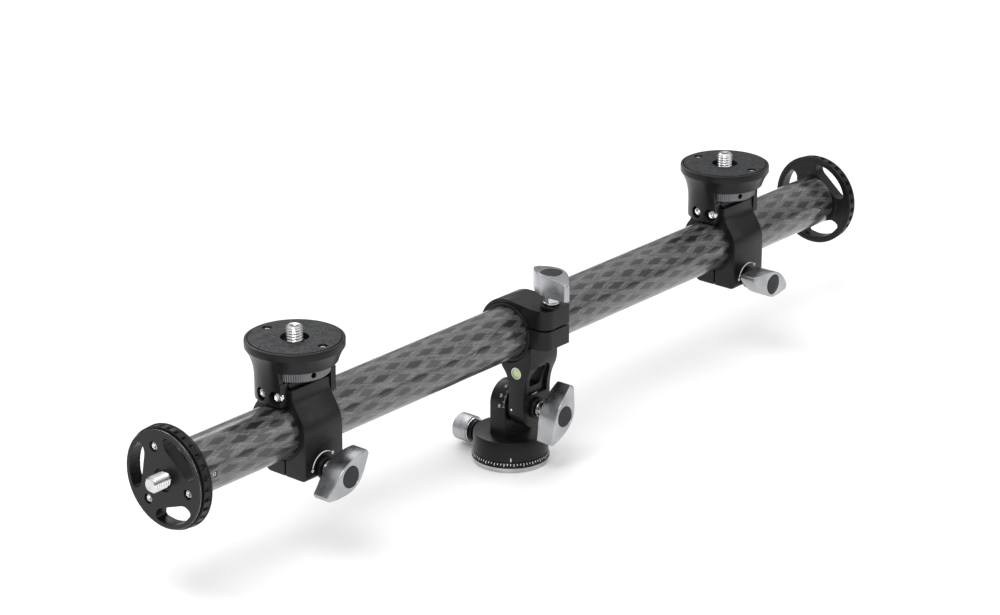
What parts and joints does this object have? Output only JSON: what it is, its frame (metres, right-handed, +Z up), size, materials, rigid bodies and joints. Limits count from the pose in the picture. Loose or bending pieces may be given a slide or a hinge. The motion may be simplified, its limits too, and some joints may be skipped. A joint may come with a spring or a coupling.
{
  "type": "camera slider",
  "caption": "Lateral camera slider arm: a carbon tube in a tilting, panning collar mount, with sliding camera clamps, wing knobs and round end discs.",
  "frame": {"origin": "in the plane of the base ring's underside, halfway between the end discs along X, and 2.95 mm in front of the base's own axis (the bounding box's bottom centre to within 2 mm)", "axes": "+X along the tube from the left end disc to the right one, +Y away from the wing knobs towards the pan lock knob, +Z up through the camera pads"},
  "size_m": [0.6238, 0.0891, 0.1446],
  "materials": {
    "black_anodised": "satin black anodised, machined",
    "carbon_fibre": "braided carbon fibre in clear resin, glossy",
    "silver_anodised": "fine bead-blasted clear anodised",
    "steel": "bright turned stainless steel",
    "cap_grey": "dark grey, matt",
    "rubber_pad": "black grained rubber",
    "liner_nylon": "black nylon, satin",
    "wheel_grey": "dark grey anodised, knurled rim",
    "brass": "plain turned brass",
    "level_fluid": "clear green-yellow vial"
  },
  "bodies": {
    "base": {"base_ring": "black_anodised", "base_thread_bush": "steel"},
    "turntable": {"turntable": "black_anodised", "pan_brake_shoe": "brass", "tilt_bolt": "steel", "hinge_friction_washer": "liner_nylon"},
    "pan_lock": {"pan_lock_knob": "silver_anodised", "pan_lock_screw": "steel"},
    "tilt_arm": {"tilt_arm": "black_anodised", "bubble_level": "level_fluid"},
    "tilt_lock": {"tilt_knob": "silver_anodised", "tilt_knob_cap": "cap_grey", "tilt_washer": "black_anodised"},
    "collar_lock": {"collar_knob": "silver_anodised", "collar_knob_cap": "cap_grey", "collar_washer": "black_anodised", "collar_bolt": "steel"},
    "collar_liner": {"collar_liner": "liner_nylon"},
    "tube": {"carbon_tube": "carbon_fibre", "end_disc_left": "black_anodised", "end_disc_right": "black_anodised", "end_stud_left": "steel", "end_stud_right": "steel", "plug_screw_left": "steel", "plug_screw_right": "steel", "disc_set_screw_left_1": "steel", "disc_set_screw_left_2": "steel", "disc_set_screw_left_3": "steel", "disc_set_screw_right_1": "steel", "disc_set_screw_right_2": "steel", "disc_set_screw_right_3": "steel"},
    "left_liner": {"clamp_liner_left": "liner_nylon"},
    "left_clamp": {"clamp_body_left": "black_anodised", "pedestal_left": "black_anodised", "top_pad_left": "rubber_pad", "pad_screw_left_front": "steel", "pad_screw_left_rear": "steel", "cross_screw_left_front": "steel", "cross_screw_left_rear": "steel"},
    "left_clamp_lock": {"clamp_left_knob": "silver_anodised", "clamp_left_knob_cap": "cap_grey", "clamp_left_washer": "black_anodised", "clamp_left_bolt": "steel"},
    "left_camera_screw": {"thumbwheel_left": "wheel_grey", "camera_stud_left": "steel"},
    "right_liner": {"clamp_liner_right": "liner_nylon"},
    "right_clamp": {"clamp_body_right": "black_anodised", "pedestal_right": "black_anodised", "top_pad_right": "rubber_pad", "pad_screw_right_front": "steel", "pad_screw_right_rear": "steel", "cross_screw_right_front": "steel", "cross_screw_right_rear": "steel"},
    "right_clamp_lock": {"clamp_right_knob": "silver_anodised", "clamp_right_knob_cap": "cap_grey", "clamp_right_washer": "black_anodised", "clamp_right_bolt": "steel"},
    "right_camera_screw": {"thumbwheel_right": "wheel_grey", "camera_stud_right": "steel"}
  },
  "joints": [
    {"name": "pan", "type": "hinge", "parent": "base", "child": "turntable", "pos_m": [-0.0091, 0.00295, 0.0065], "axis": [0, 0, 1], "continuous": true},
    {"name": "pan_lock_turn", "type": "hinge", "parent": "turntable", "child": "pan_lock", "pos_m": [-0.0091, 0.03095, 0.0108], "axis": [0, 1, 0], "range_deg": [0, 360]},
    {"name": "tilt", "type": "hinge", "parent": "turntable", "child": "tilt_arm", "pos_m": [-0.0091, 0.00295, 0.0386], "axis": [0, 1, 0], "range_deg": [-90, 90]},
    {"name": "tilt_lock_turn", "type": "hinge", "parent": "tilt_arm", "child": "tilt_lock", "pos_m": [-0.0091, -0.01705, 0.0386], "axis": [0, -1, 0], "range_deg": [0, 360]},
    {"name": "collar_lock_turn", "type": "hinge", "parent": "tilt_arm", "child": "collar_lock", "pos_m": [-0.0091, -0.02795, 0.1055], "axis": [0, 0, 1], "range_deg": [0, 360]},
    {"name": "tube_roll", "type": "hinge", "parent": "tilt_arm", "child": "collar_liner", "pos_m": [-0.0091, -0.00295, 0.0868], "axis": [1, 0, 0], "continuous": true},
    {"name": "tube_slide", "type": "slide", "parent": "collar_liner", "child": "tube", "axis": [1, 0, 0], "range_m": [-0.06, 0.06]},
    {"name": "left_clamp_slide", "type": "slide", "parent": "tube", "child": "left_liner", "axis": [1, 0, 0], "range_m": [-0.07, 0.09]},
    {"name": "left_clamp_roll", "type": "hinge", "parent": "left_liner", "child": "left_clamp", "pos_m": [-0.1998, -0.00295, 0.0868], "axis": [1, 0, 0], "continuous": true},
    {"name": "left_clamp_lock_turn", "type": "hinge", "parent": "left_clamp", "child": "left_clamp_lock", "pos_m": [-0.1998, -0.02395, 0.0654], "axis": [0, -1, 0], "range_deg": [0, 360]},
    {"name": "left_camera_screw_turn", "type": "hinge", "parent": "left_clamp", "child": "left_camera_screw", "pos_m": [-0.1998, -0.00295, 0.1178], "axis": [0, 0, 1], "continuous": true},
    {"name": "right_clamp_slide", "type": "slide", "parent": "tube", "child": "right_liner", "axis": [1, 0, 0], "range_m": [-0.085, 0.075]},
    {"name": "right_clamp_roll", "type": "hinge", "parent": "right_liner", "child": "right_clamp", "pos_m": [0.1944, -0.00295, 0.0868], "axis": [1, 0, 0], "continuous": true},
    {"name": "right_clamp_lock_turn", "type": "hinge", "parent": "right_clamp", "child": "right_clamp_lock", "pos_m": [0.1944, -0.02395, 0.0654], "axis": [0, -1, 0], "range_deg": [0, 360]},
    {"name": "right_camera_screw_turn", "type": "hinge", "parent": "right_clamp", "child": "right_camera_screw", "pos_m": [0.1944, -0.00295, 0.1178], "axis": [0, 0, 1], "continuous": true}
  ]
}
